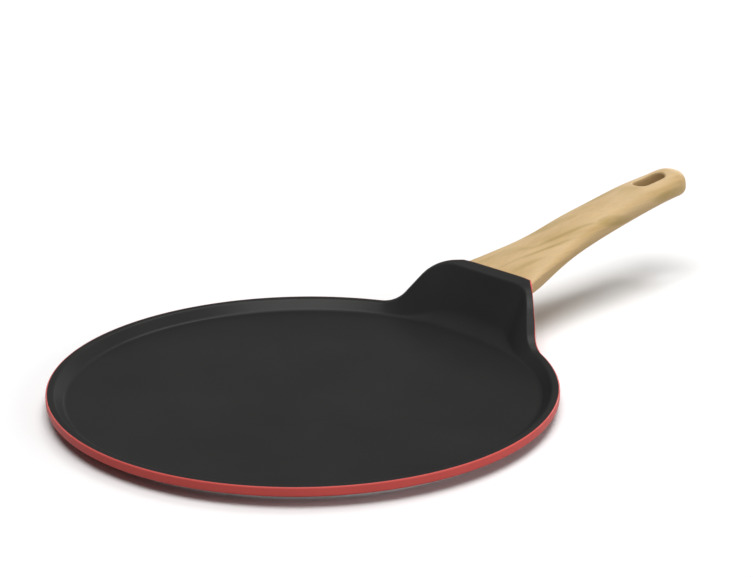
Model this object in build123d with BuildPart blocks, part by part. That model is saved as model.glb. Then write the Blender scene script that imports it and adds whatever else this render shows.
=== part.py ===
"""Crepe pan: a flat cast pan with a low rim, a raised splash tab and a wooden handle.

Millimetres. The origin is the centre of the base, on the surface that the pan stands on.
+Z is up, +X runs from the centre to the handle's tip, and the XZ plane halves the pan.
"""

from build123d import *
from math import acos, asin, atan2, cos, degrees, pi, radians, sin, sqrt, tan
import os

os.makedirs("parts", exist_ok=True)

# Pan: the rim seen from above, and its height
land_radius = 140.0        # outer edge of the black land on top of the rim
red_edge = 1.2             # the red band stands this far outside the black land
rim_height = 11.4          # top of the rim above the table
band_height = 4.8          # the upright red band, down from the rim's top
band_rounding = 1.5        # its lower corner
undercut_run = 12.2        # from the band in to the bare aluminium foot that stands on the table
foot_height = 0.9          # the red layer starts this far above the table
land_width = 3.2           # the flat land, from its inner to its outer edge
hollow_depth = 5.8         # from the land down to the cooking floor
wall_run = 5.8             # horizontal run of the sloping wall
floor_rounding = 5.0       # between the floor and the wall

# Layers
enamel_thickness = 0.5
coating_thickness = 0.4

# Splash tab: the rim rises to a straight top edge, and the handle starts behind it
tab_rise = 27.4            # the tab's top above the rim
tab_overhang = 17.3        # the tab's straight end stands this far outside the rim
tab_width = 54.4           # width of that straight end
flank_turn = 40.0          # degrees from the handle's line to the way that a flank's edge is cut
flank_top = 17.3           # across that way, from the tab's corner to the start of the slope
flank_run = 23.8           # and from there to the slope's foot on the rim, both unrounded
flank_foot_rounding = 20.0
flank_shoulder_rounding = 28.5
flank_margin = 15.0        # the tab's walls start this far past the slope's foot
tab_lean = 16.8            # degrees that the tab's side walls lean out
end_land = 11.5            # depth of the tab's top face, in front of the handle
hollow_end_width = 40.0    # width of the straight inner edge of that face

# The tab's outline at its top: places between its corner and the spread angle, each with its
# share of the lean's reach there
flank_shares = (
    (0.06, 1.0), (0.22, 1.0), (0.39, 0.84), (0.55, 0.5), (0.71, 0.16), (0.87, 0.0), (1.0, 0.0),
)
# Inside it: places as shares of the spread angle, each with its share of the hollow's bulge
hollow_flank_shares = (
    (0.36, 1.22), (0.43, 1.20), (0.51, 1.06), (0.60, 0.90), (0.70, 0.72), (0.80, 0.45), (0.90, 0.15),
    (1.0, 0.0),
)

# Tang, cast on the back of the tab: it fills the handle's socket
tang_width = 28.0
tang_thickness = 7.0
tang_length = 26.5         # from the tab's straight end to the tang's free end
tang_slope = 13.5          # degrees
tang_cover = 4.0           # wood above the tang
socket_clearance = 0.3
socket_end_gap = 1.0

# Induction disc, pressed into the base
foot_ring_width = 21.0     # bare foot outside the disc
disc_thickness = 0.8
disc_hole_radius = 2.0
disc_edge_width = 8.0      # from its last ring of holes to its edge
disc_ring_count = 5
disc_ring_holes = 6        # holes in the first ring, and added in each further ring

# Handle
handle_length = 172.6      # from the tab's end to the tip
handle_rise = 20.0         # of its widest line, from the root to the crest
root_drop = 1.8            # widest line at the root, below the tab's top
grip_width = 29.0
grip_crown = 8.2           # height above the widest line
grip_belly = 9.4           # depth below it
section_fullness_share = 0.66
tip_length = 14.1          # the last stretch, which closes in a dome
tip_fullness = 2.5
slot_length = 26.1
slot_width = 10.1
slot_tip_gap = 18.8        # wood beyond the slot

# One row for each section of the handle up to the dome, as shares of its sizes:
# place along its length, rise, flare from the grip's width to the tab's, crown, belly.
# The first two lie inside the tab's sloping back, and the next at its straight end.
handle_section_shares = (
    (-0.060, -0.070, 1.020, 0.25, 1.40),
    (-0.012, -0.053, 1.012, 0.29, 1.55),
    (0.000, -0.050, 1.000, 0.30, 1.56),
    (0.055, 0.005, 0.820, 0.48, 1.65),
    (0.113, 0.065, 0.665, 0.61, 1.53),
    (0.183, 0.140, 0.495, 0.72, 1.22),
    (0.270, 0.260, 0.325, 0.85, 0.96),
    (0.387, 0.473, 0.180, 0.97, 0.98),
    (0.561, 0.734, 0.051, 0.98, 1.03),
    (0.735, 0.935, 0.000, 1.01, 0.95),
    (0.840, 1.002, -0.060, 1.03, 0.85),
)
tip_section_shares = (0.965, -0.198, 1.38, 0.67)
tip_angles = (0.0, 25.0, 45.0, 62.0, 76.0, 86.0)

# Handle screw, from below, square to the tang
screw_end_gap = 14.0       # from where its axis meets the tang's top to the tang's free end
screw_radius = 2.5
screw_clearance = 0.05     # in the thread insert
screw_hole_clearance = 0.3
insert_wall = 1.05
head_radius = 4.6
head_height = 2.6
drive_radius = 1.6
drive_depth = 1.5
spring_washer_radius = 4.4
spring_washer_thickness = 1.2
spring_washer_gap = 1.2
flat_washer_radius = 5.0
flat_washer_thickness = 0.9
recess_clearance = 0.8     # round the flat washer
recess_floor = 2.2         # wood left between the recess and the socket

# Cuts run past what they cut by this much
overrun = 5.0

# Worked out from the sizes above
red_radius = land_radius + red_edge
foot_radius = red_radius - undercut_run
disc_radius = foot_radius - foot_ring_width
disc_ring_spacing = (disc_radius - disc_edge_width) / disc_ring_count
band_bottom = rim_height - band_height
floor_height = rim_height - hollow_depth
land_inner_radius = land_radius - land_width
floor_radius = land_inner_radius - wall_run
tab_top = rim_height + tab_rise
tab_reach = red_radius + tab_overhang
tab_corner = tab_reach * sin(radians(flank_turn)) - tab_width / 2 * cos(radians(flank_turn))
flank_shoulder = tab_corner - flank_top
flank_foot = flank_shoulder - flank_run
flank_angle = atan2(tab_rise, flank_run)
tab_spread = flank_turn - degrees(asin((flank_foot - flank_margin) / red_radius))
undercut_angle = atan2(band_bottom - foot_height, undercut_run)
tang_reach = tab_reach + tang_length
screw_place = tang_reach - screw_end_gap
screw_hole_radius = screw_radius + screw_hole_clearance
insert_radius = screw_radius + screw_clearance + insert_wall
recess_radius = flat_washer_radius + recess_clearance
tip_x = tab_reach + handle_length
slot_x = tip_x - slot_tip_gap - slot_length / 2
root_flare = tab_width / 2 - grip_width / 2
widest_root = tab_top - root_drop


def polar(radius, angle):
    """The point at this radius, at an angle in degrees from +X."""
    return (radius * cos(radians(angle)), radius * sin(radians(angle)))


def ring_block(inset, drop):
    """The pan without its tab, filled in, its outside moved in by inset and its top down by drop."""
    lift = inset / cos(undercut_angle)
    foot = foot_height + lift
    edge = red_radius - inset
    corner = band_bottom + lift - inset * tan(undercut_angle)
    top = rim_height - drop
    with BuildPart() as block:
        with BuildSketch(Plane.XZ):
            with BuildLine():
                FilletPolyline(
                    (0, foot), (foot_radius, foot), (edge, corner), (edge, top), (0, top),
                    radius=(0, 0, band_rounding, max(red_edge - inset, 0), 0), close=True,
                )
            make_face()
        revolve(axis=Axis.Z)
    return block.part


def spread_wall(base_height, base_radius, end, end_half, flank, end_direction):
    """A solid that spreads from an arc at base_height to an outline at the tab's top.

    The outline has a straight end, end_half to each side, and then flank, the points out to
    the spread angle. end_direction is the way that the flank leaves the straight end.
    """
    end_angle = degrees(atan2(end_half, end))
    side_angle = tab_spread - end_angle
    low = polar(base_radius, tab_spread)
    high = flank[-1]
    with BuildPart() as block:
        with BuildSketch(Plane.XY.offset(base_height)):
            with BuildLine():
                CenterArc((0, 0), base_radius, -tab_spread, side_angle)
                CenterArc((0, 0), base_radius, -end_angle, 2 * end_angle)
                CenterArc((0, 0), base_radius, end_angle, side_angle)
                Line(low, (low[0], -low[1]))
            make_face()
        with BuildSketch(Plane.XY.offset(tab_top)):
            with BuildLine():
                side = Spline((end, end_half), *flank, tangents=(end_direction, polar(1, tab_spread + 90)))
                mirror(side, about=Plane.XZ)
                Line((end, -end_half), (end, end_half))
                Line(high, (high[0], -high[1]))
            make_face()
        loft(ruled=True)
    return block.part


def below_edge(drop):
    """Everything below the tab's S-shaped edge, which is moved inwards by drop."""
    shift = drop * tan(flank_angle / 2)
    low = rim_height - drop
    high = tab_top - drop
    side = red_radius + overrun
    across = Plane((0, 0, 0), x_dir=polar(1, flank_turn + 90) + (0,), z_dir=polar(1, flank_turn) + (0,))
    with BuildPart() as block:
        with BuildSketch(across):
            with BuildLine():
                FilletPolyline(
                    (-side, -overrun), (-side, high), (-flank_shoulder - shift, high),
                    (-flank_foot - shift, low), (side, low), (side, -overrun),
                    radius=(0, 0, flank_shoulder_rounding - drop, flank_foot_rounding + drop, 0, 0),
                    close=True,
                )
            make_face()
        extrude(amount=tab_reach + overrun)
        mirror(about=Plane.XZ, mode=Mode.INTERSECT)
    return block.part


def tab_outside(inset):
    """The tab, filled in but not yet cut to its edge, with its outside moved in by inset."""
    end = tab_reach - inset
    end_half = tab_width / 2 - inset * tan(pi / 8)
    radius = red_radius - inset
    lean_reach = tab_rise * tan(radians(tab_lean))
    crossing = 45 - degrees(acos((end + end_half) / sqrt(2) / (radius + lean_reach)))
    flank = [
        polar(radius + lean_reach * out, crossing + (tab_spread - crossing) * share)
        for share, out in flank_shares
    ]
    return spread_wall(rim_height - band_height / 2, radius, end, end_half, flank, (-1, 1))


def outer_block(inset, drop):
    """The whole pan, filled in, with its outside moved in by inset and its top down by drop."""
    ring = ring_block(inset, drop)
    tab = tab_outside(inset)
    edge = below_edge(drop)
    with BuildPart() as block:
        add(tab)
        add(edge, mode=Mode.INTERSECT)
        add(ring)
    return block.part


def hollow_block(grow):
    """The space inside the pan, made wider and deeper by grow."""
    bulge = tab_reach - end_land - land_inner_radius
    edge = land_inner_radius + grow
    floor = floor_height - grow
    flank = [polar(edge + bulge * out, tab_spread * share) for share, out in hollow_flank_shares]
    end = land_inner_radius + bulge + grow
    wall = spread_wall(rim_height, edge, end, hollow_end_width / 2, flank, (0, 1))
    with BuildPart() as block:
        with BuildSketch(Plane.XZ):
            with BuildLine():
                FilletPolyline(
                    (0, floor), (floor_radius + grow, floor), (edge, rim_height), (0, rim_height),
                    radius=(0, floor_rounding, 0, 0), close=True,
                )
            make_face()
        revolve(axis=Axis.Z)
        add(wall)
    return block.part


def handle_row(place, rise_share, flare_share, crown_share, belly_share):
    """One section of the handle: its place, widest height, half width, crown and belly."""
    return (
        place,
        widest_root + handle_rise * rise_share,
        grip_width / 2 + root_flare * flare_share,
        grip_crown * crown_share,
        grip_belly * belly_share,
    )


def dome_row(base, angle):
    """The base row, moved along the dome to this angle and made smaller to suit."""
    place, height, half_width, crown, belly = base
    run = sin(radians(angle))
    left = (1 - run**tip_fullness) ** (1 / tip_fullness)
    return (place + tip_length * run, height, half_width * cos(radians(angle)), crown * left, belly * left)


# The handle's sections from the root to the tip
tip_base = handle_row(tip_x - tip_length, *tip_section_shares)
handle_rows = [
    handle_row(tab_reach + handle_length * place_share, *shares)
    for place_share, *shares in handle_section_shares
]
handle_rows += [dome_row(tip_base, angle) for angle in tip_angles]

# Frame of the tang: it starts where the screw's axis meets the tang's top, x along the tang
root_crown = handle_rows[2][1] + handle_rows[2][3]
cover_top = root_crown + (screw_place - tab_reach) * tan(radians(tang_slope))
tang_frame = Plane(
    origin=(screw_place, 0, cover_top - tang_cover),
    x_dir=(cos(radians(tang_slope)), 0, sin(radians(tang_slope))),
    z_dir=(-sin(radians(tang_slope)), 0, cos(radians(tang_slope))),
)
tang_end = (tang_reach - screw_place) / cos(radians(tang_slope))
tang_start = (tab_reach - end_land / 2 - screw_place) / cos(radians(tang_slope))
screw_plane = tang_frame.offset(-tang_thickness - socket_clearance - recess_floor)

# The pan's nested outlines
red_outside = outer_block(0, 0)
metal_outside = outer_block(enamel_thickness, coating_thickness)
black_outside = outer_block(red_edge, 0)
hollow = hollow_block(0)
metal_hollow = hollow_block(coating_thickness)
disc_rings = [
    (disc_ring_spacing * ring, disc_ring_holes * ring) for ring in range(1, disc_ring_count + 1)
]

# The tang alone, because three pieces are made to it
with BuildPart() as tang:
    with BuildSketch(tang_frame.offset(-tang_thickness)):
        with Locations(((tang_start + tang_end) / 2, 0)):
            Rectangle(tang_end - tang_start, tang_width)
    extrude(amount=tang_thickness)

# Pan body: cast aluminium, with the tang, the foot and the pegs that fill the disc's holes
with BuildPart() as pan_body:
    add(metal_outside)
    with BuildSketch():
        Circle(foot_radius)
    extrude(amount=floor_height / 2)
    add(tang.part)
    add(metal_hollow, mode=Mode.SUBTRACT)
    with BuildSketch():
        Circle(disc_radius)
    extrude(amount=disc_thickness, mode=Mode.SUBTRACT)
    for ring_radius, hole_count in disc_rings:
        with BuildSketch():
            with PolarLocations(ring_radius, hole_count):
                Circle(disc_hole_radius)
        extrude(amount=disc_thickness)
    with BuildSketch(tang_frame.offset(-tang_thickness)):
        Circle(insert_radius)
    extrude(amount=tang_thickness, mode=Mode.SUBTRACT)
pan_body.part.label = "pan_body"
export_step(pan_body.part, "parts/pan_body.step")

# Non-stick coating: a thin skin on the floor, wall, land and front of the tab
with BuildPart() as nonstick_coating:
    add(black_outside)
    add(hollow, mode=Mode.SUBTRACT)
    add(pan_body.part, mode=Mode.SUBTRACT)
nonstick_coating.part.label = "nonstick_coating"
export_step(nonstick_coating.part, "parts/nonstick_coating.step")

# Exterior enamel: a thin red skin on the rim's band, the undercut and the back of the tab
with BuildPart() as exterior_enamel:
    add(red_outside)
    add(black_outside, mode=Mode.SUBTRACT)
    add(metal_outside, mode=Mode.SUBTRACT)
    with BuildSketch():
        Circle(foot_radius)
    extrude(amount=floor_height, mode=Mode.SUBTRACT)
    add(tang.part, mode=Mode.SUBTRACT)
exterior_enamel.part.label = "exterior_enamel"
export_step(exterior_enamel.part, "parts/exterior_enamel.step")

# Induction disc: flat, with rings of holes that the base's pegs fill
with BuildPart() as induction_disc:
    with BuildSketch():
        Circle(disc_radius)
        for ring_radius, hole_count in disc_rings:
            with PolarLocations(ring_radius, hole_count):
                Circle(disc_hole_radius, mode=Mode.SUBTRACT)
    extrude(amount=disc_thickness)
induction_disc.part.label = "induction_disc"
export_step(induction_disc.part, "parts/induction_disc.step")

# Handle: a loft through sections with a flat crown and a deep belly, closed by the dome
with BuildPart() as handle:
    for place, height, side, crown, belly in handle_rows:
        pull = side * section_fullness_share
        top = height + crown
        high = height + crown * section_fullness_share
        low = height - belly * section_fullness_share
        bottom = height - belly
        with BuildSketch(Plane.YZ.offset(place)):
            with BuildLine():
                Bezier((side, height), (side, high), (pull, top), (0, top))
                Bezier((0, top), (-pull, top), (-side, high), (-side, height))
                Bezier((-side, height), (-side, low), (-pull, bottom), (0, bottom))
                Bezier((0, bottom), (pull, bottom), (side, low), (side, height))
            make_face()
    loft()
    with BuildSketch():
        with Locations((slot_x, 0)):
            SlotOverall(slot_length, slot_width)
    extrude(amount=tab_top + handle_rise + 2 * grip_crown, mode=Mode.SUBTRACT)
    add(tab_outside(0), mode=Mode.SUBTRACT)
    with BuildSketch(tang_frame.offset(-tang_thickness - socket_clearance)):
        with Locations(((tang_start + tang_end + socket_end_gap) / 2, 0)):
            Rectangle(tang_end + socket_end_gap - tang_start, tang_width + 2 * socket_clearance)
    extrude(amount=tang_thickness + 2 * socket_clearance, mode=Mode.SUBTRACT)
    with BuildSketch(screw_plane):
        Circle(recess_radius)
    extrude(amount=-grip_belly - grip_crown, mode=Mode.SUBTRACT)
    with BuildSketch(screw_plane):
        Circle(screw_hole_radius)
    extrude(amount=recess_floor + overrun / 2, mode=Mode.SUBTRACT)
handle.part.label = "handle"
export_step(handle.part, "parts/handle.step")

# Thread insert: a steel bush in the tang
with BuildPart() as thread_insert:
    with BuildSketch(tang_frame.offset(-tang_thickness)):
        Circle(insert_radius)
        Circle(screw_radius + screw_clearance, mode=Mode.SUBTRACT)
    extrude(amount=tang_thickness)
thread_insert.part.label = "thread_insert"
export_step(thread_insert.part, "parts/thread_insert.step")

# Flat washer on the recess's floor, with the split spring washer below it
flat_washer_plane = screw_plane.offset(-flat_washer_thickness)
with BuildPart() as flat_washer:
    with BuildSketch(flat_washer_plane):
        Circle(flat_washer_radius)
        Circle(screw_hole_radius, mode=Mode.SUBTRACT)
    extrude(amount=flat_washer_thickness)
flat_washer.part.label = "flat_washer"
export_step(flat_washer.part, "parts/flat_washer.step")

spring_washer_plane = flat_washer_plane.offset(-spring_washer_thickness)
with BuildPart() as spring_washer:
    with BuildSketch(spring_washer_plane):
        Circle(spring_washer_radius)
        Circle(screw_hole_radius, mode=Mode.SUBTRACT)
        with Locations((spring_washer_radius, 0)):
            Rectangle(2 * (spring_washer_radius - screw_radius), spring_washer_gap, mode=Mode.SUBTRACT)
    extrude(amount=spring_washer_thickness)
spring_washer.part.label = "spring_washer"
export_step(spring_washer.part, "parts/spring_washer.step")

# Handle screw: a pan head with a hexagon socket, its shank up through the insert
screw_length = spring_washer_thickness + flat_washer_thickness + recess_floor + tang_thickness
with BuildPart() as handle_screw:
    with BuildSketch(spring_washer_plane):
        Circle(head_radius)
    extrude(amount=-head_height)
    fillet(handle_screw.faces().sort_by(Axis.Z)[0].edges(), head_height / 2)
    with BuildSketch(spring_washer_plane.offset(-head_height)):
        RegularPolygon(drive_radius, side_count=6)
    extrude(amount=drive_depth, mode=Mode.SUBTRACT)
    with BuildSketch(spring_washer_plane):
        Circle(screw_radius)
    extrude(amount=screw_length)
handle_screw.part.label = "handle_screw"
export_step(handle_screw.part, "parts/handle_screw.step")
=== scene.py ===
# %% [markdown]
# # A crepe pan in Blender
#
# A crepe pan is a flat cast plate with a low rim. On the handle's side the rim rises into a
# splash tab, and a wooden handle starts behind it. The plate is black inside and red outside.
# The first step loads the measured model, whose parts are already in place and in metres, so
# everything made here can take its sizes from them.

import bmesh
import bpy
import numpy as np
from mathutils import Euler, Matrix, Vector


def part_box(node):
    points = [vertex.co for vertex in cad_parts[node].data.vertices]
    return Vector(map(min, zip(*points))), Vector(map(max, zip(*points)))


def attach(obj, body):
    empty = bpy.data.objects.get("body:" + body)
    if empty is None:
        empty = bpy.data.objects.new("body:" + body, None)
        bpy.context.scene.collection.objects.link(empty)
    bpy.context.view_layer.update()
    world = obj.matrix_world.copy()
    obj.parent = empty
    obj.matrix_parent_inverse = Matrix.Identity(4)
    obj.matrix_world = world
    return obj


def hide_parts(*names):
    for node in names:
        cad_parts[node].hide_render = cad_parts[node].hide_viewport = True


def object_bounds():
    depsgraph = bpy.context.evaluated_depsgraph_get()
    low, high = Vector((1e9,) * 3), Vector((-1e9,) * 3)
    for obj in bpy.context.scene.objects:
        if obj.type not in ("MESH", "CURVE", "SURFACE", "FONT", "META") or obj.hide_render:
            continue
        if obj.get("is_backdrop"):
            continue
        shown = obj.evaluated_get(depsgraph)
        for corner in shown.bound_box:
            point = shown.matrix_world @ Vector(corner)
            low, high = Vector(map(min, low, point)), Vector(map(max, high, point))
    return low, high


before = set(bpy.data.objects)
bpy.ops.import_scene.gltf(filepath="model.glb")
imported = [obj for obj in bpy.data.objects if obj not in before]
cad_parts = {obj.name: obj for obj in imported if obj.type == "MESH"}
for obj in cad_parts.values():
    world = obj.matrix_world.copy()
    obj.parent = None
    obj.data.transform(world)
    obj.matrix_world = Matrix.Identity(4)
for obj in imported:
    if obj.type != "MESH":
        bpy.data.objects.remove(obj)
cad_low, cad_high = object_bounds()
MM = 0.001
print("parts:", ", ".join(sorted(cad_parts)))
print("overall size in mm:", [round(side / MM, 1) for side in cad_high - cad_low])

# %% [markdown]
# Round things repeat one profile at every angle, so most sizes of the pan are radii and heights.
# Those that the measured model can give are read from the boxes of its parts, and the small ones,
# such as the width of the rim's flat top, are named here. All of them are in millimetres, and
# angles are in radians.

# %% Sizes of the pan
enamel_low, enamel_high = (np.array(corner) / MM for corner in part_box("exterior_enamel"))
coating_low = np.array(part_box("nonstick_coating")[0]) / MM
coating_thickness = 0.4
enamel_thickness = 0.5
rim_radius = enamel_high[1]
rim_height = 11.4
floor_height = coating_low[2] + coating_thickness
foot_height = enamel_low[2]
undercut_run = 12.2
foot_radius = rim_radius - undercut_run
band_height = 4.8
band_rounding = 1.5
land_width = 4.4
land_inner = rim_radius - land_width
wall_run = 5.8
rim_edge = 0.8
tab_edge = 0.4
corner_edge = 2.0
inner_rounding = 0.8

tab_reach = enamel_high[0]
tab_top = enamel_high[2]
tab_rise = tab_top - rim_height
tab_width = 54.4
end_land = 11.5
wall_base = rim_height - band_height / 2
back_lean = np.radians(16.8)
lean_reach = tab_rise * np.tan(back_lean)
print("rim radius", round(rim_radius, 1), "tab", round(tab_reach, 1), "by", round(tab_top, 1))

# %% [markdown]
# Three small functions do most of the shaping. One fades from 0 to 1, one takes the smaller of
# two lengths and rounds the corner between them, and one draws a smooth curve through a few
# chosen points, as a bent batten does on a drawing board. They take whole arrays at once, which
# is what makes numpy quick.

# %% Curves for shaping
def fade(share):
    """0 below share 0, 1 above share 1, and 3s² - 2s³ between."""
    share = np.clip(share, 0, 1)
    return share * share * (3 - 2 * share)


def soft_min(one, other, blend):
    """The smaller of two lengths.

    Where they differ by less than blend, a parabola rounds the corner.
    """
    near = np.clip(1 - np.abs(one - other) / blend, 0, 1)
    return np.minimum(one, other) - blend * near**2 / 4


def batten(places, values, at):
    """A cubic spline through the values at these places, with no bend at either end.

    The bends at the inner places solve one linear system, and each span is a cubic.
    """
    places, values = np.array(places, float), np.array(values, float)
    span = np.diff(places)
    slope = np.diff(values) / span
    system = np.eye(len(places))
    inner = np.arange(1, len(places) - 1)
    system[inner, inner - 1] = span[:-1]
    system[inner, inner] = 2 * (span[:-1] + span[1:])
    system[inner, inner + 1] = span[1:]
    bend = np.linalg.solve(system, np.r_[0, 6 * np.diff(slope), 0])
    first = np.clip(np.searchsorted(places, at) - 1, 0, len(span) - 1)
    along = at - places[first]
    start = slope[first] - span[first] * (2 * bend[first] + bend[first + 1]) / 6
    turn = (bend[first + 1] - bend[first]) / (6 * span[first])
    return values[first] + along * (start + along * (bend[first] / 2 + along * turn))


print("batten check:", batten([0, 1, 2], [0, 1, 0], np.array([0.5, 1.0])).round(3))

# %% [markdown]
# The splash tab looks free-formed, but it is cut from simple shapes. Seen from above, its outside
# is a straight end, two corners cut at 45 degrees and a circle that fades into the rim. Seen
# across each flank, its edge is an S: an arc, a slope and an arc. Writing these as functions of
# the angle round the pan keeps every edge smooth.

# %% Outlines of the splash tab
flank_turn = np.radians(40.0)
shoulder_back = 17.3
tab_corner = tab_reach * np.sin(flank_turn) - tab_width / 2 * np.cos(flank_turn)
flank_shoulder = tab_corner - shoulder_back
flank_run = 23.8
flank_foot = flank_shoulder - flank_run
flank_slope = np.arctan2(tab_rise, flank_run)
foot_rounding = 20.0
shoulder_rounding = 28.5
lean_fade_start = np.radians(19.5)
tab_spread = np.radians(28.0)
beyond_tab = np.radians(60)
corner_blend = 0.8
circle_blend = 5.1
hollow_bulge = tab_reach - end_land - land_inner
straight_places = np.radians([0.0, 2.0, 4.0, 6.0, 7.75])
hollow_places = np.radians([10.8, 12.9, 15.3, 18.0, 21.0, 24.0, 27.0, 30.0, 33.0])
hollow_shares = np.array([1.22, 1.20, 1.06, 0.90, 0.72, 0.45, 0.15, 0.0, 0.0])


def edge_rise(x, y):
    """Height of the pan's edge above its plain rim, by the distance across the tab's flank.

    Nothing, then an arc, a slope, an arc the other way, and the tab's full height.
    """
    across = x * np.sin(flank_turn) - np.abs(y) * np.cos(flank_turn)
    half = np.tan(flank_slope / 2)
    from_start = np.clip(across - flank_foot + foot_rounding * half, 0, None)
    to_end = np.clip(flank_shoulder + shoulder_rounding * half - across, 0, None)
    foot_run = foot_rounding * np.sin(flank_slope)
    shoulder_run = shoulder_rounding * np.sin(flank_slope)
    foot_arc = foot_rounding - np.sqrt(foot_rounding**2 - np.minimum(from_start, foot_run) ** 2)
    shoulder_drop = shoulder_rounding - np.sqrt(
        shoulder_rounding**2 - np.minimum(to_end, shoulder_run) ** 2
    )
    slope = (across - flank_foot) * np.tan(flank_slope)
    return np.where(from_start < foot_run, foot_arc,
                    np.where(to_end < shoulder_run, tab_rise - shoulder_drop, slope))


def outer_outline(turn):
    """Radius of the outside at the tab's top: end line, 45 degree line, then leaning circle."""
    turn = np.minimum(np.abs(turn), beyond_tab)
    end = tab_reach / np.cos(turn)
    corner = (tab_reach + tab_width / 2) / (np.cos(turn) + np.sin(turn))
    lean = 1 - fade((turn - lean_fade_start) / (tab_spread - lean_fade_start))
    circle = rim_radius + lean_reach * lean
    return -soft_min(-soft_min(end, corner, corner_blend), -circle, circle_blend)


def inner_outline(turn):
    """Radius of the hollow at the tab's top: a straight stretch, then a curve out to the rim."""
    turn = np.minimum(np.abs(turn), hollow_places[-1])
    straight = (land_inner + hollow_bulge) / np.cos(straight_places)
    curved = land_inner + hollow_bulge * hollow_shares
    return batten(np.r_[straight_places, hollow_places], np.r_[straight, curved], turn)


settling_rounds = 12


def edge_point(turn, base_radius, base_height, outline):
    """Radius and height where a wall reaches the edge.

    Each depends on the other, so a few rounds settle them.
    """
    height = np.full_like(turn, rim_height)
    for _ in range(settling_rounds):
        share = (height - base_height) / (tab_top - base_height)
        radius = base_radius + (outline - base_radius) * share
        height = rim_height + edge_rise(radius * np.cos(turn), radius * np.sin(turn))
    return radius, height


fine_degrees = 34
fine = np.radians(np.arange(-fine_degrees, fine_degrees, 0.25))
coarse = np.radians(np.arange(fine_degrees, 360 - fine_degrees, 1.0))
turns = np.r_[fine, coarse]
tab_angle = np.minimum(np.abs(turns), 2 * np.pi - turns)
inner_radius, inner_height = edge_point(turns, land_inner, rim_height, inner_outline(turns))
outer_radius, outer_height = edge_point(turns, rim_radius, wall_base, outer_outline(turns))
print("columns round the pan:", len(turns), "highest edge", round(outer_height.max(), 2))

# %% [markdown]
# Each skin of the pan is one grid: columns go round, and rows go along the profile. Blender could
# spin a profile, but a spin can't follow the tab, and a grid can, because every column has its own
# numbers. A skin also needs a back, so each profile runs out along the face and home again a
# little below it, which closes the surface.

# %% Grids and profiles
merge_distance = 1e-7
arc_reach = 0.55


def grid_faces(rows, columns, closed_rows):
    """Quads between neighbouring rows and columns. Columns always close, rows only if asked."""
    row = np.arange(rows if closed_rows else rows - 1)[:, None]
    column = np.arange(columns)[None, :]
    next_row, next_column = (row + 1) % rows, (column + 1) % columns
    corners = (row * columns + column, row * columns + next_column,
               next_row * columns + next_column, next_row * columns + column)
    return np.stack([np.broadcast_to(c, (row.size, columns)) for c in corners], -1).reshape(-1, 4)


def make_piece(name, points, faces):
    """A smooth-shaded mesh from points in millimetres.

    Its doubles are merged and its faces turned outwards.
    """
    mesh = bpy.data.meshes.new(name)
    mesh.from_pydata((points * MM).tolist(), [], faces.tolist())
    shape = bmesh.new()
    shape.from_mesh(mesh)
    bmesh.ops.remove_doubles(shape, verts=shape.verts, dist=merge_distance)
    bmesh.ops.recalc_face_normals(shape, faces=shape.faces)
    for face in shape.faces:
        face.smooth = True
    open_edges = sum(not edge.is_manifold for edge in shape.edges)
    shape.to_mesh(mesh)
    shape.free()
    piece = bpy.data.objects.new(name, mesh)
    bpy.context.scene.collection.objects.link(piece)
    print(name, len(mesh.polygons), "faces,", open_edges, "open edges")
    return piece


def bend(start, corner, end, count):
    """Points from start to end along a cubic curve that rounds the corner as an arc would.

    Its two middle control points lie arc_reach of the way to the corner. Points are
    (radius, height) pairs.
    """
    t = np.linspace(0, 1, count)[:, None, None]
    one, two = start + arc_reach * (corner - start), end + arc_reach * (corner - end)
    return (1 - t) ** 3 * start + 3 * (1 - t) ** 2 * t * one + 3 * (1 - t) * t**2 * two + t**3 * end


def line(start, end, count):
    """Evenly spaced points after start, up to end."""
    t = np.linspace(0, 1, count + 1)[1:, None, None]
    return start + (end - start) * t


def pair(radius, height):
    """One (radius, height) for each column."""
    return np.stack([radius + 0 * turns, height + 0 * turns], -1)


def backed(face, thickness):
    """The profile's face, then its back: every third point, moved in square to the face."""
    run = np.gradient(face, axis=0)
    length = np.linalg.norm(run, axis=-1, keepdims=True)
    inwards = np.stack([run[..., 1], -run[..., 0]], -1) / length
    back = (face + thickness * inwards)[::-3]
    return np.concatenate([face, back])


def skin(name, profile, closed_rows):
    """The surface that the profile's columns sweep out round the pan's axis."""
    radius, height = profile[..., 0], profile[..., 1]
    points = np.stack([radius * np.cos(turns), radius * np.sin(turns), height], -1)
    faces = grid_faces(len(profile), len(turns), closed_rows)
    return make_piece(name, points.reshape(-1, 3), faces)


# %% [markdown]
# The cooking side is sprayed with a black non-stick coating. Its profile is the flat floor, a
# fillet, the sloping wall, a small rounding and the flat land on top of the rim. Towards the tab
# the wall gets taller and steeper and the fillet larger, so that batter slides back down.

# %% Non-stick coating
deep_start = np.radians(21.0)
deep_fade = np.radians(13.0)
rim_fillet = 3.6
tab_extra_fillet = 10.4
tab_foot_shift = 3.6
deep = fade((deep_start - tab_angle) / deep_fade)
floor_rounding = rim_fillet + tab_extra_fillet * deep
foot_ring = land_inner - wall_run + tab_foot_shift * deep
wall_tilt = (inner_radius - foot_ring) / (inner_height - floor_height)
wall_up = pair(wall_tilt, 1.0) / np.hypot(wall_tilt, 1)[:, None]
inner_edge = pair(inner_radius, inner_height)
wall_foot = pair(foot_ring, floor_height)
fillet_leg = floor_rounding * np.tan(np.arctan2(1, wall_tilt) / 2)
fillet_start = wall_foot - pair(fillet_leg, 0)
fillet_end = wall_foot + fillet_leg[:, None] * wall_up


def land_point(radius):
    """A point on the rim's top at this radius."""
    return pair(radius, rim_height + edge_rise(radius * np.cos(turns), radius * np.sin(turns)))


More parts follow.
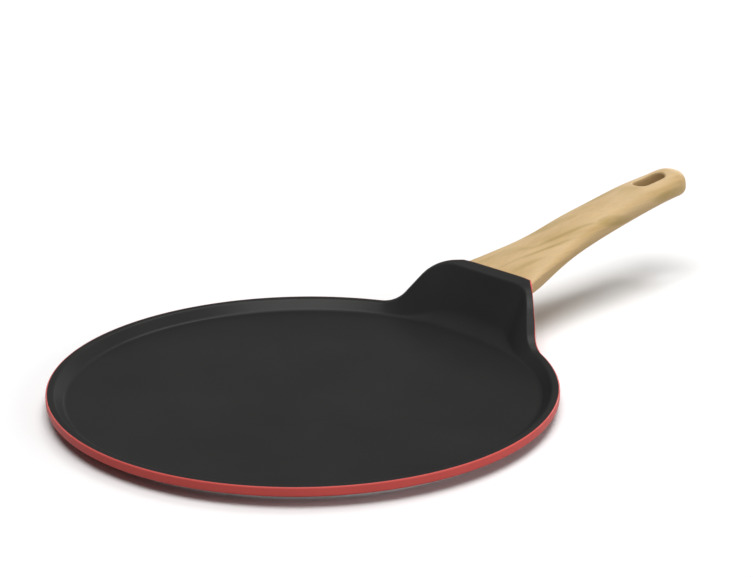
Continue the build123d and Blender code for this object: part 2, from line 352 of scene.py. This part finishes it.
corner_place = np.radians(11.0)
corner_spread = np.radians(4.5)
near_corner = fade(1 - np.abs(tab_angle - corner_place) / corner_spread)
edge_size = rim_edge + (tab_edge - rim_edge) * fade(2 * (outer_height - rim_height) / tab_rise)
edge_size = edge_size + (corner_edge - tab_edge) * near_corner
land_start = land_point(inner_radius + inner_rounding)
wall_top = inner_edge - inner_rounding * wall_up
land_end = land_point(outer_radius - edge_size)
land = np.stack([land_point(r) for r in np.linspace(land_start[:, 0], land_end[:, 0], 9)])
coating_face = np.concatenate([
    line(pair(0, floor_height), fillet_start, 12),
    bend(fillet_start, wall_foot, fillet_end, 13)[1:],
    line(fillet_end, wall_top, 10),
    bend(wall_top, inner_edge, land_start, 8)[1:],
    land[1:],
])
coating_face = np.concatenate([pair(0, floor_height)[None], coating_face])
middle_back = pair(0, floor_height - coating_thickness)[None]
coating_profile = np.concatenate([backed(coating_face, coating_thickness), middle_back])
black_coating = skin("black_coating", coating_profile, False)
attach(black_coating, "root")
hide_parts("nonstick_coating")

# %% [markdown]
# The outside is enamelled red. The skin starts at the black land's outer edge, rounds over it,
# comes down the back of the tab or the upright band, turns under at a small rounding and runs in
# to the bare foot. It shares the coating's last line of points, so that no gap shows between them.

# %% Red enamel
outer_edge = pair(outer_radius, outer_height)
wall_end = pair(rim_radius, wall_base)
wall_down = wall_end - outer_edge
wall_down = wall_down / np.linalg.norm(wall_down, axis=-1, keepdims=True)
band_corner = pair(rim_radius, rim_height - band_height)
foot = pair(foot_radius, foot_height)
under_way = (foot - band_corner) / np.linalg.norm(foot - band_corner, axis=-1, keepdims=True)
corner_leg = band_rounding * np.tan(np.arccos(-under_way[:, 1:]) / 2)
under_start = band_corner + corner_leg * under_way
back_leg = 0.6
wall_start = outer_edge + edge_size[:, None] * wall_down
enamel_face = np.concatenate([
    bend(land_end, outer_edge, wall_start, 9),
    line(wall_start, wall_end - back_leg * wall_down, 12),
    bend(wall_end - back_leg * wall_down, wall_end, wall_end - pair(0, back_leg), 5)[1:],
    bend(band_corner + pair(0, corner_leg[:, 0]), band_corner, under_start, 8),
    line(under_start, foot, 8),
])
red_enamel = skin("red_enamel", backed(enamel_face, enamel_thickness), True)
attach(red_enamel, "root")
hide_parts("exterior_enamel")

# %% [markdown]
# The handle is shaped from one stick. Its sections are wide and flat at the tab and nearly round
# at the grip, and each is four quarter curves: a crown above its widest line and a belly below.
# Battens carry the four sizes of the section along the handle, so no section is a hard step.

# %% Sections of the handle
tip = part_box("handle")[1].x / MM
handle_length = tip - tab_reach
dome_length = 14.1
dome_fullness = 2.5
grip_half_width = 14.5
root_flare = tab_width / 2 - grip_half_width
root_drop = 1.8
widest_root = tab_top - root_drop
handle_rise = 20.0
grip_crown = 8.2
grip_belly = 9.4
section_pull = 0.66
section_shares = np.array([  # place, rise, flare, crown and belly, as shares
    (-0.060, -0.100, 1.150, 0.20, 1.40),
    (0.000, -0.050, 1.000, 0.30, 1.56),
    (0.055, 0.005, 0.820, 0.48, 1.65),
    (0.113, 0.065, 0.665, 0.61, 1.53),
    (0.183, 0.140, 0.495, 0.72, 1.22),
    (0.270, 0.260, 0.325, 0.85, 0.96),
    (0.387, 0.473, 0.180, 0.97, 0.98),
    (0.561, 0.734, 0.051, 0.98, 1.03),
    (0.735, 0.935, 0.000, 1.01, 0.95),
    (0.840, 1.002, -0.060, 1.03, 0.85),
    (0.918, 0.964, -0.198, 1.38, 0.67),
    (0.960, 0.940, -0.290, 1.55, 0.58),
])


def handle_sizes(x):
    """Widest height, half width, crown and belly at x.

    In the dome at the tip, the last three close to nothing along a curve like an ellipse's.
    """
    place = np.minimum(x, tip - dome_length)
    rise, flare, crown, belly = (
        batten(section_shares[:, 0], shares, (place - tab_reach) / handle_length)
        for shares in section_shares[:, 1:].T
    )
    into_dome = np.clip((x - place) / dome_length, 0, 1)
    left = (1 - into_dome**dome_fullness) ** (1 / dome_fullness)
    half_width = (grip_half_width + root_flare * flare) * np.sqrt(1 - into_dome**2)
    height = widest_root + handle_rise * rise
    return height, half_width, grip_crown * crown * left, grip_belly * belly * left


def quarter_out(t):
    """Share of the half width at t, from 1 at the side to 0 at the middle."""
    return (1 - t) ** 3 + 3 * (1 - t) ** 2 * t + 3 * (1 - t) * t**2 * section_pull


def quarter_up(t):
    """Share of the crown or belly at t, from 0 at the side to 1 at the middle."""
    return 3 * (1 - t) ** 2 * t * section_pull + 3 * (1 - t) * t**2 + t**3


sample = np.linspace(0, 1, 400)


def place_on_quarter(out):
    """The t at which a quarter curve is this share of the half width from the middle."""
    return np.interp(1 - out, 1 - quarter_out(sample), sample)


print("handle sizes at its middle:", [float(np.round(v, 1)) for v in handle_sizes(np.array(250.0))])

# %% [markdown]
# Two openings go into the handle: the hanging slot right through it, and the round recess for the
# screw from below. A Boolean would leave long thin triangles round them. Here the handle is made
# as two mirrored halves instead, and where an opening lies, each half stops at the opening's edge
# and not at the middle. A rounding along the edge is a small drop that depends on the distance
# from it.

# %% Openings in the handle
slot_length, slot_width, slot_tip_gap = 26.1, 10.1, 18.8
slot_radius = slot_width / 2
slot_start = tip - slot_tip_gap - slot_length
slot_end = tip - slot_tip_gap
slot_rounding = 1.3
tang_slope = np.radians(13.5)
washer_low, washer_high = (np.array(corner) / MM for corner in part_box("flat_washer"))
recess_clearance = 0.8
recess_radius = (washer_high[1] - washer_low[1]) / 2 + recess_clearance
recess_lift = 0.45
recess_x = (washer_low[0] + washer_high[0]) / 2 - recess_lift * np.sin(tang_slope)
recess_z = (washer_low[2] + washer_high[2]) / 2 + recess_lift * np.cos(tang_slope)
recess_rounding = 0.5


def past_straight(x):
    """How far x lies past the slot's straight sides, and 0 along them."""
    beyond = np.abs(x - (slot_start + slot_end) / 2) - (slot_length / 2 - slot_radius)
    return np.maximum(beyond, 0)


def slot_distance(x, y):
    """Distance outside the slot's outline, which is two half circles joined by straight sides."""
    return np.hypot(past_straight(x), y) - slot_radius


def slot_edge(x):
    """Half width of the slot at x, nothing beyond its ends."""
    return np.sqrt(np.maximum(slot_radius**2 - past_straight(x) ** 2, 0))


def recess_along(x, z):
    """Distance from the recess's axis, measured along the tang's slope."""
    return (x - recess_x) * np.cos(tang_slope) + (z - recess_z) * np.sin(tang_slope)


def edge_drop(distance, rounding):
    """How far a quarter-round edge lies below the plain surface at this distance from the edge."""
    left = np.clip(rounding - distance, 0, rounding)
    return rounding - np.sqrt(rounding**2 - left**2)


def wall_x(y, z):
    """x of the tab's sloping back at this y and z."""
    share = (z - wall_base) / (tab_top - wall_base)
    return np.sqrt(rim_radius**2 - y**2) * (1 - share) + tab_reach * share


search = 9
recess_rows = np.linspace(recess_x - search, recess_x + search, 400)
widest, _, _, belly = handle_sizes(recess_rows)
row_along = recess_along(recess_rows, widest - belly)
recess_span = np.interp([-recess_radius, recess_radius], row_along, recess_rows)
print("slot from", round(slot_start, 1), "to", round(slot_end, 1))
print("recess from", recess_span.round(1))

# %% [markdown]
# Now the two halves. Rows are places along the handle, packed closely where an edge needs them,
# and columns run from the crown's middle round the side to the belly's middle. At the root, the
# rows lean so that the first one lies against the tab's sloping back.

# %% Handle
def round_steps(low, high, count):
    """Places between low and high that crowd towards both ends, as a circle's shadow does."""
    return (low + high) / 2 - (high - low) / 2 * np.cos(np.linspace(0, np.pi, count))


lean_in = 6.0
tip_base = tip - dome_length
past_recess = np.array([0.15, 0.3, 0.5, 0.9])
past_slot = slot_rounding * np.array([0.12, 0.26, 0.42, 0.6, 0.8, 1.0])
recess_gap, slot_gap, plain_step = 2, 2.4, 1.5
closest_rows = 0.02
crowding = 1.6
rows = np.unique(np.concatenate([
    np.linspace(tab_reach, tab_reach + lean_in, 9),
    recess_span[0] - past_recess,
    round_steps(recess_span[0], recess_span[1], 33),
    recess_span[1] + past_recess,
    np.arange(recess_span[1] + recess_gap, slot_start - slot_gap, plain_step),
    slot_start - past_slot,
    round_steps(slot_start, slot_start + slot_width, 33)[:17],
    np.linspace(slot_start + slot_radius, slot_end - slot_radius, 13),
    round_steps(slot_end - slot_width, slot_end, 33)[16:],
    slot_end + past_slot,
    np.linspace(slot_end + slot_gap, tip_base, 4),
    tip_base + dome_length * np.sin(np.linspace(0, np.pi / 2, 25)),
]).round(6))
rows = rows[np.r_[True, np.diff(rows) > closest_rows]]
spread = np.linspace(0, 1, 34) ** crowding
upper = slice(0, len(spread))
lower = slice(len(spread), 2 * len(spread) - 1)


def rows_between(low, high, margin):
    """Which rows lie between low and high, with each end moved outwards by the margin."""
    return (rows > low - margin) & (rows < high + margin)


inside_slot = rows_between(slot_start, slot_end, -0.001)[:, None]
inside_recess = rows_between(*recess_span, -0.001)[:, None]

x_rows = np.repeat(rows[:, None], 2 * len(spread) - 1, 1)
tab_lean = np.clip((tab_reach + lean_in - x_rows) / lean_in, 0, 1)
tuck = 0.4
lean_rounds = 6


def half_section(x):
    """y and z of every column at these x, from the crown's middle to the belly's middle."""
    height, half_width, crown, belly = handle_sizes(x)
    safe = np.maximum(half_width, 1e-6)
    along = recess_along(x[:, -1:], (height - belly)[:, -1:])
    recess = np.sqrt(np.maximum(recess_radius**2 - along**2, 0))
    slot = slot_edge(x[:, :1]) * inside_slot
    top_stop = place_on_quarter(slot / safe[:, :1])
    bottom_stop = place_on_quarter((slot + recess * inside_recess) / safe[:, -1:])
    top_t = top_stop * (1 - spread)
    bottom_t = bottom_stop * (1 - spread[::-1][1:])
    t = np.concatenate([top_t, bottom_t], 1)
    y = half_width * quarter_out(t)
    z = height + np.concatenate([crown[:, upper], -belly[:, lower]], 1) * quarter_up(t)
    return y, z


x_surface = x_rows
for _ in range(lean_rounds):
    y_surface, z_surface = half_section(x_surface)
    x_surface = x_rows - tab_lean * (tab_reach + tuck - wall_x(y_surface, z_surface))
y_surface, z_surface = half_section(x_surface)
slot_drop = edge_drop(np.maximum(slot_distance(x_surface, y_surface), 0), slot_rounding)
from_recess = np.hypot(recess_along(x_surface, z_surface), y_surface) - recess_radius
recess_drop = edge_drop(np.maximum(from_recess, 0), recess_rounding)
in_top = np.arange(x_surface.shape[1]) < len(spread)
z_surface = z_surface + np.where(in_top, -slot_drop, slot_drop + recess_drop)

row_count, column_count = x_surface.shape
half = np.stack([x_surface, y_surface, z_surface], -1)


def strip(first, second):
    """Quads along two rows of point numbers."""
    return np.stack([first[:-1], first[1:], second[1:], second[:-1]], -1).reshape(-1, 4)


numbers = np.arange(row_count * column_count).reshape(row_count, column_count)
half_faces = [strip(numbers[r], numbers[r + 1]) for r in range(row_count - 1)]
points = [half.reshape(-1, 3)]

in_slot = np.flatnonzero(rows_between(slot_start, slot_end, 0.01))
wall_levels = np.linspace(0, 1, 10)[1:-1]
slot_top, slot_bottom = half[in_slot, 0], half[in_slot, -1]
slot_wall = slot_top + (slot_bottom - slot_top) * wall_levels[:, None, None]
slot_numbers = np.arange(slot_wall[..., 0].size).reshape(len(wall_levels), -1) + numbers.size
levels = np.vstack([numbers[in_slot, 0], slot_numbers, numbers[in_slot, -1]])
half_faces += [strip(levels[k], levels[k + 1]) for k in range(len(levels) - 1)]
points.append(slot_wall.reshape(-1, 3))

in_recess = np.flatnonzero(rows_between(*recess_span, 0.01))
recess_rim = half[in_recess, -1]
along = recess_along(recess_rim[:, 0], recess_rim[:, 2])
recess_top = np.stack([recess_x + along * np.cos(tang_slope), recess_rim[:, 1],
                       recess_z + along * np.sin(tang_slope)], -1)
recess_levels = np.array([0.33, 0.66, 1.0])
recess_wall = recess_rim + (recess_top - recess_rim) * recess_levels[:, None, None]
first_recess = numbers.size + slot_numbers.size
recess_numbers = np.arange(recess_wall[..., 0].size).reshape(len(recess_levels), -1) + first_recess
levels = np.vstack([numbers[in_recess, -1], recess_numbers])
half_faces += [strip(levels[k], levels[k + 1]) for k in range(len(levels) - 1)]
points.append(recess_wall.reshape(-1, 3))

half_points = np.concatenate(points)
half_quads = np.concatenate(half_faces)
mirrored = half_points * [1, -1, 1]
offset = len(half_points)
bridges = [strip(ends, ends + offset) for ends in (numbers[0], recess_numbers[-1])]
handle_faces = np.concatenate([half_quads, half_quads + offset, *bridges])
wooden_handle = make_piece("wooden_handle", np.concatenate([half_points, mirrored]), handle_faces)
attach(wooden_handle, "root")
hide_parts("handle")

# %% [markdown]
# Finishes come next. Every one is a tree of nodes that ends in a Principled shader, and every
# pattern reads Object coordinates, which are metres here, so a scale of 1000 makes features a
# millimetre apart. A few helpers keep the trees short to write.

# %% Helpers for finishes
def start_finish(name):
    """A new material: its node tree, its shader and its Object coordinates."""
    material = bpy.data.materials.new(name)
    material.use_nodes = True
    tree = material.node_tree
    place = tree.nodes.new("ShaderNodeTexCoord").outputs["Object"]
    return material, tree, tree.nodes["Principled BSDF"], place


def add(tree, kind, inputs=None, **settings):
    """A node with its settings. An input is either a value or another node's output."""
    node = tree.nodes.new("ShaderNode" + kind)
    for setting, value in settings.items():
        setattr(node, setting, value)
    for socket, value in (inputs or {}).items():
        if isinstance(value, bpy.types.NodeSocket):
            tree.links.new(value, node.inputs[socket])
        else:
            node.inputs[socket].default_value = value
    return node


def noise(tree, place, scale, detail=2.0, stretch=(1, 1, 1)):
    """Grey noise with features about 1/scale metres across.

    Along an axis whose stretch is less than 1 they are longer.
    """
    mapped = add(tree, "Mapping", {"Vector": place, "Scale": stretch}).outputs[0]
    return add(tree, "TexNoise", {"Vector": mapped, "Scale": scale, "Detail": detail}).outputs[0]


def ramp(tree, value, *stops):
    """A colour ramp with (place, colour) stops. A single number stands for a grey."""
    node = add(tree, "ValToRGB", {"Fac": value})
    elements = node.color_ramp.elements
    while len(elements) < len(stops):
        elements.new(1.0)
    for element, (position, colour) in zip(elements, stops):
        element.position = position
        element.color = (*colour, 1) if isinstance(colour, tuple) else (colour, colour, colour, 1)
    return node.outputs[0]


def mix(tree, share, below, above, blend="MIX"):
    """The second colour laid over the first by this share, or multiplied into it by this share."""
    node = add(tree, "Mix", {0: share, 6: below, 7: above}, data_type="RGBA", blend_type=blend)
    return node.outputs[2]


def combine(tree, operation, one, other):
    """One number worked out from two, as a product or the larger one."""
    return add(tree, "Math", {0: one, 1: other}, operation=operation).outputs[0]


def between(tree, value, places, levels):
    """The first level below the first place, the second above the second, a line in between."""
    node = add(tree, "MapRange", dict(enumerate([value, *places, *levels])))
    return node.outputs[0]


def bump(tree, shader, height, distance, strength=1.0):
    """Small relief: height from 0 to 1 stands for this distance in metres."""
    node = add(tree, "Bump", {"Height": height, "Distance": distance, "Strength": strength})
    tree.links.new(node.outputs[0], shader.inputs["Normal"])


def dress(piece, material):
    """The finish goes on a new piece, or over a measured part's own."""
    piece.data.materials.clear()
    piece.data.materials.append(material)


print("helpers ready")

# %% [markdown]
# Sprayed non-stick coating is nearly black and matt, with a very fine orange peel. It holds fine
# mineral flakes, so a third of it is given as metal: that lifts the highlights on the fillets, and
# the tint keeps the floor from turning grey at a low angle, as a plain gloss would make it.

# %% Non-stick finish
material, tree, shader, place = start_finish("nonstick_black")
cloud = noise(tree, place, 18.0, 3.0)
peel = noise(tree, place, 1400.0, 2.0)
black = ramp(tree, cloud, (0.3, (0.0290, 0.0290, 0.0286)), (0.7, (0.0330, 0.0329, 0.0324)))
tree.links.new(black, shader.inputs["Base Color"])
tree.links.new(ramp(tree, peel, (0.3, 0.28), (0.7, 0.34)), shader.inputs["Roughness"])
shader.inputs["Specular IOR Level"].default_value = 0.0
shader.inputs["Metallic"].default_value = 0.32
shader.inputs["Specular Tint"].default_value = (0.48, 0.48, 0.48, 1)
bump(tree, shader, peel, 0.00002, 0.5)
dress(black_coating, material)

# %% [markdown]
# The enamel is a smooth red lacquer over cast metal. It is glossier than the coating, a little
# deeper in tone where it is thick, and the casting's slow unevenness shows in its reflections.
# Below the band, where the pan turns under, its red is darkened as painted shade. It is matt there.

# %% Red finish
material, tree, shader, place = start_finish("enamel_red")
cloud = noise(tree, place, 30.0, 2.0)
peel = noise(tree, place, 500.0, 1.0)
height = add(tree, "SeparateXYZ", {"Vector": place}).outputs["Z"]
red = ramp(tree, cloud, (0.3, (0.60, 0.087, 0.076)), (0.7, (0.655, 0.098, 0.086)))
# From 7 mm down to 5.8 mm above the table the red darkens to 0.55 of itself: painted shade where
# the pan turns under.
undercut_low, painted_shade_top, full_gloss = 5.8 * MM, 7.0 * MM, 7.5 * MM
painted_shade_factor = between(tree, height, (undercut_low, painted_shade_top), (0.55, 1.0))
matt = between(tree, height, (undercut_low, full_gloss), (0.85, 0.30))
red_with_painted_shade = mix(tree, 1.0, red, painted_shade_factor, "MULTIPLY")
tree.links.new(red_with_painted_shade, shader.inputs["Base Color"])
smooth = ramp(tree, peel, (0.3, 0.32), (0.7, 0.40))
tree.links.new(combine(tree, "MAXIMUM", smooth, matt), shader.inputs["Roughness"])
shader.inputs["Specular IOR Level"].default_value = 0.12
bump(tree, shader, peel, 0.00003, 0.4)
dress(red_enamel, material)

# %% [markdown]
# The handle is pale oiled wood. Its figure comes from growth rings, which are cylinders round the
# log's heart. A stick cut near the heart, and not quite along it, meets them in long flames. Faint
# rings round a line below the handle give the ground. The strong flames are listed one by one, each
# a stretched ball of darker wood at its own place, and slow noise bends them all alike.

# %% Figure of the wood
material, tree, shader, place = start_finish("oiled_wood")
long_way = add(tree, "Mapping", {"Vector": place, "Scale": (0.5, 1, 1)}).outputs[0]
sway = add(tree, "TexNoise", {"Vector": long_way, "Scale": 45.0, "Detail": 2.0}).outputs[1]
grey = (0.5, 0.5, 0.5)
sway_size = 4 * MM
shift = add(tree, "VectorMath", {0: sway, 1: grey}, operation="SUBTRACT").outputs[0]
shift = add(tree, "VectorMath", {0: shift, "Scale": sway_size}, operation="SCALE").outputs[0]
bent = add(tree, "VectorMath", {0: place, 1: shift}, operation="ADD").outputs[0]
heart = add(tree, "Mapping", {
    "Vector": bent, "Location": (0.0, 0.010, -0.020),
    "Rotation": (0.0, np.radians(5.0), np.radians(9.0)), "Scale": (0.06, 1.0, 1.0),
}).outputs[0]
rings = add(tree, "TexWave", {"Vector": heart, "Scale": 30.0, "Distortion": 0.0},
            wave_type="RINGS", rings_direction="X", wave_profile="SAW").outputs[1]
ground = ramp(tree, rings, (0.0, (0.580, 0.396, 0.182)), (0.40, (0.608, 0.420, 0.200)),
              (0.82, (0.530, 0.354, 0.145)), (1.0, (0.580, 0.394, 0.178)))

# Centre in mm, turn and climb in degrees, half length, width and height in mm, depth of colour.
flames = [
    ((183, 5, 44), (-36, 9), (13, 2.2, 5), 0.9),
    ((209, -6, 49.5), (-16, 12), (30, 1.9, 5), 1.0),
    ((248, -15, 52), (0, -9), (21, 4.5, 4), 1.0),
    ((187, -6.8, 45), (-16, 11), (33, 1.8, 5), 0.9),
    ((178, 9, 43), (-20, 9), (10, 5.0, 6), 0.9),
    ((165, 14.5, 40), (-20, 9), (12, 3.5, 6), 0.8),
    ((214, 9.5, 51), (-22, 13), (22, 4.5, 5), 1.0),
    ((276, -4, 63), (0, 8), (11, 10.0, 5), 0.9),
    ((172, -12, 41), (-12, 9), (16, 2.5, 5), 0.5),
    ((305, -14, 57), (2, 0), (22, 5.0, 4), 0.9),
    ((262, 9, 60), (-8, 10), (24, 4.0, 5), 0.5),
    ((195, -8, 25), (15, 0), (28, 6.0, 5), 0.8),
    ((255, 4, 43), (-9, 10), (36, 3.0, 6), 0.9),
]
darkest = None
for centre, (turn, climb), halves, depth in flames:
    inside = add(tree, "Mapping", {
        "Vector": bent, "Location": tuple(np.array(centre) * MM),
        "Rotation": (0, -np.radians(climb), np.radians(turn)),
        "Scale": tuple(np.array(halves) * MM),
    }, vector_type="TEXTURE").outputs[0]
    ball = add(tree, "TexGradient", {"Vector": inside}, gradient_type="SPHERICAL").outputs[1]
    shade = combine(tree, "MULTIPLY", ball, depth)
    darkest = shade if darkest is None else combine(tree, "MAXIMUM", darkest, shade)
dark_wood = (0.44, 0.298, 0.100, 1)
figure = mix(tree, ramp(tree, darkest, (0.0, 0.0), (0.25, 0.7), (0.6, 1.0)), ground, dark_wood)
print("flames in the wood:", len(flames))

# %% [markdown]
# Over the figure go the small things: pale and yellow patches, thin fibres, and the short dark
# pores of an open-grained wood. All of them are noise stretched along the handle. The fibres also
# give the relief and the uneven gloss that sanding and oil leave.

# %% Grain of the wood
pale_wood = (0.65, 0.462, 0.245, 1)
pore_brown = (0.40, 0.25, 0.11, 1)
patches = noise(tree, place, 60.0, 2.0, (0.35, 1, 1))
warm = mix(tree, ramp(tree, patches, (0.42, 0.0), (0.75, 0.7)), figure, pale_wood)
fibres = noise(tree, bent, 800.0, 3.0, (0.03, 1, 1))
streaks = ramp(tree, fibres, (0.25, 0.86), (0.75, 1.10))
streaked = mix(tree, 0.5, warm, streaks, "MULTIPLY")
pores = noise(tree, bent, 1500.0, 1.0, (0.06, 1, 1))
pitted = mix(tree, ramp(tree, pores, (0.66, 0.0), (0.74, 0.30)), streaked, pore_brown)
tree.links.new(pitted, shader.inputs["Base Color"])
tree.links.new(ramp(tree, fibres, (0.3, 0.46), (0.7, 0.56)), shader.inputs["Roughness"])
shader.inputs["Specular IOR Level"].default_value = 0.4
bump(tree, shader, fibres, 0.00004, 0.4)
dress(wooden_handle, material)
print("wood dressed")

# %% [markdown]
# The pan's cast body shows only underneath, as a ring round a pressed-in steel disc. Both were
# faced on a lathe, which leaves fine rings. A wave of rings about the vertical axis gives the
# marks, and noise breaks them up, because a perfect ring looks printed.

# %% Turned metal
stain_depth = 0.86
mark_roughness = 0.12


def turned_metal(name, colour, rings_per_metre, roughness, parts):
    """Metal with lathe marks about the pan's axis."""
    material, tree, shader, place = start_finish(name)
    marks = add(tree, "TexWave", {"Vector": place, "Scale": rings_per_metre, "Distortion": 0.6,
                                  "Detail": 2.0, "Detail Scale": 40.0},
                wave_type="RINGS", rings_direction="Z").outputs[1]
    cloud = noise(tree, place, 25.0, 4.0)
    dark = tuple(stain_depth * level for level in colour)
    tree.links.new(ramp(tree, cloud, (0.3, dark), (0.7, colour)), shader.inputs["Base Color"])
    rough = ramp(tree, marks, (0.0, roughness), (1.0, roughness + mark_roughness))
    tree.links.new(rough, shader.inputs["Roughness"])
    shader.inputs["Metallic"].default_value = 1.0
    bump(tree, shader, marks, 0.00004, 0.5)
    for part in parts:
        dress(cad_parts[part], material)


turned_metal("cast_aluminium", (0.72, 0.73, 0.74), 260.0, 0.42, ["pan_body"])
turned_metal("pressed_steel", (0.56, 0.57, 0.58), 420.0, 0.30, ["induction_disc"])
print("turned metal on the foot and the disc")

# %% [markdown]
# The screw and its washers are bright plated steel, seen only from below in their recess. Rolled
# and plated parts have faint cloudy stains and fine scratches, which two noises give.

# %% Plated steel
material, tree, shader, place = start_finish("plated_steel")
stain = noise(tree, place, 220.0, 3.0)
scratch = noise(tree, place, 2600.0, 2.0, (0.1, 1, 1))
steel = ramp(tree, stain, (0.3, (0.52, 0.52, 0.51)), (0.7, (0.64, 0.64, 0.63)))
tree.links.new(steel, shader.inputs["Base Color"])
tree.links.new(ramp(tree, scratch, (0.3, 0.22), (0.7, 0.36)), shader.inputs["Roughness"])
shader.inputs["Metallic"].default_value = 1.0
bump(tree, shader, scratch, 0.00001, 0.4)
for part in ("handle_screw", "flat_washer", "spring_washer", "thread_insert"):
    dress(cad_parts[part], material)
print("plated steel on the screw, its washers and the insert")

# %% [markdown]
# The pan is shown on a white sweep under soft light from above. A wide sun is the simplest soft
# light: it is equally bright everywhere, so the floor doesn't fade, and its width sets how soft
# the shadow is. Three weaker suns help it. One fills the handle's side, and two shine from behind,
# one high and one low, and draw the edges and fillets. The world is white to the camera and in
# reflections, and lights the scene at a much lower level.

# %% Floor, light and background
floor_size = 6.0
floor_place = (0, 0, -0.0001)
bpy.ops.mesh.primitive_grid_add(x_subdivisions=8, y_subdivisions=8, size=floor_size,
                                location=floor_place)
floor = bpy.context.object
floor.name = "floor"
floor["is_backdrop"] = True
material, tree, shader, place = start_finish("floor_white")
output = tree.nodes["Material Output"]
tree.nodes.remove(shader)
seen = add(tree, "LightPath").outputs["Is Camera Ray"]
bounce = 0.58
plain = add(tree, "BsdfDiffuse", {"Color": (bounce, bounce, bounce, 1)}).outputs[0]
white = add(tree, "BsdfDiffuse", {"Color": (1.0, 1.0, 1.0, 1)}).outputs[0]
chosen = add(tree, "MixShader", {0: seen, 1: plain, 2: white}).outputs[0]
tree.links.new(chosen, output.inputs["Surface"])
dress(floor, material)

world = bpy.data.worlds.new("studio")
bpy.context.scene.world = world
world.use_nodes = True
tree = world.node_tree
rays = add(tree, "LightPath").outputs
direct = combine(tree, "MAXIMUM", rays["Is Camera Ray"], rays["Is Glossy Ray"])
direct = combine(tree, "MAXIMUM", direct, rays["Is Transmission Ray"])
sky_level = 0.075
level = between(tree, direct, (0.0, 1.0), (sky_level, 1.0))
background = tree.nodes["Background"]
background.inputs["Color"].default_value = (1, 1, 1, 1)
tree.links.new(level, background.inputs["Strength"])


def add_sun(name, level, width, heading, height):
    """A sun that gives a level floor this share of full white.

    It shines from a heading and a height, and its width, all in degrees, softens its shadow.
    """
    sun = bpy.data.lights.new(name, "SUN")
    sun.angle = np.radians(width)
    sun.energy = level * np.pi / np.sin(np.radians(height))
    lamp = bpy.data.objects.new(name, sun)
    lamp.rotation_euler = Euler((np.radians(90 - height), 0, np.radians(heading + 90)))
    bpy.context.scene.collection.objects.link(lamp)


add_sun("overhead", 0.68, 42.0, 225.0, 81.0)
add_sun("side", 0.085, 40.0, -74.0, 15.0)
add_sun("back", 0.18, 24.0, 15.0, 58.0)
add_sun("low", 0.023, 30.0, 24.0, 7.0)
bpy.context.scene.view_settings.view_transform = "Standard"
print("stage set")

# %% [markdown]
# The camera looks down on the pan from in front and to the right of its handle. Its place, heading
# and tilt come from fitting the rim's ellipse and the handle's outline to the wanted picture, and
# its lens from how much the far side of the rim shrinks.

# %% Camera
camera_place = np.array([-784.5, -847.1, 471.4]) * MM
camera_heading = 45.2
camera_tilt = 19.364
lens_pixels, frame_pixels = 2249.46, 753
camera_data = bpy.data.cameras.new("camera")
camera_data.sensor_width = 36.0
camera_data.sensor_fit = "HORIZONTAL"
camera_data.lens = camera_data.sensor_width * lens_pixels / frame_pixels
camera_data.clip_start, camera_data.clip_end = 0.05, 20.0
camera = bpy.data.objects.new("camera", camera_data)
camera.location = camera_place
camera.rotation_euler = Euler((np.radians(90 - camera_tilt), 0, np.radians(camera_heading - 90)))
bpy.context.scene.collection.objects.link(camera)
bpy.context.scene.camera = camera
print("lens", round(camera_data.lens, 2), "mm")

# %% [markdown]
# Last, the size of what is shown is printed next to the size of the measured model. The dressed
# pan has to stay inside it.

low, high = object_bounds()
growth = (*(cad_low - low), *(high - cad_high))
print("grows past the measured box by mm:", [round(v / MM, 3) for v in growth])
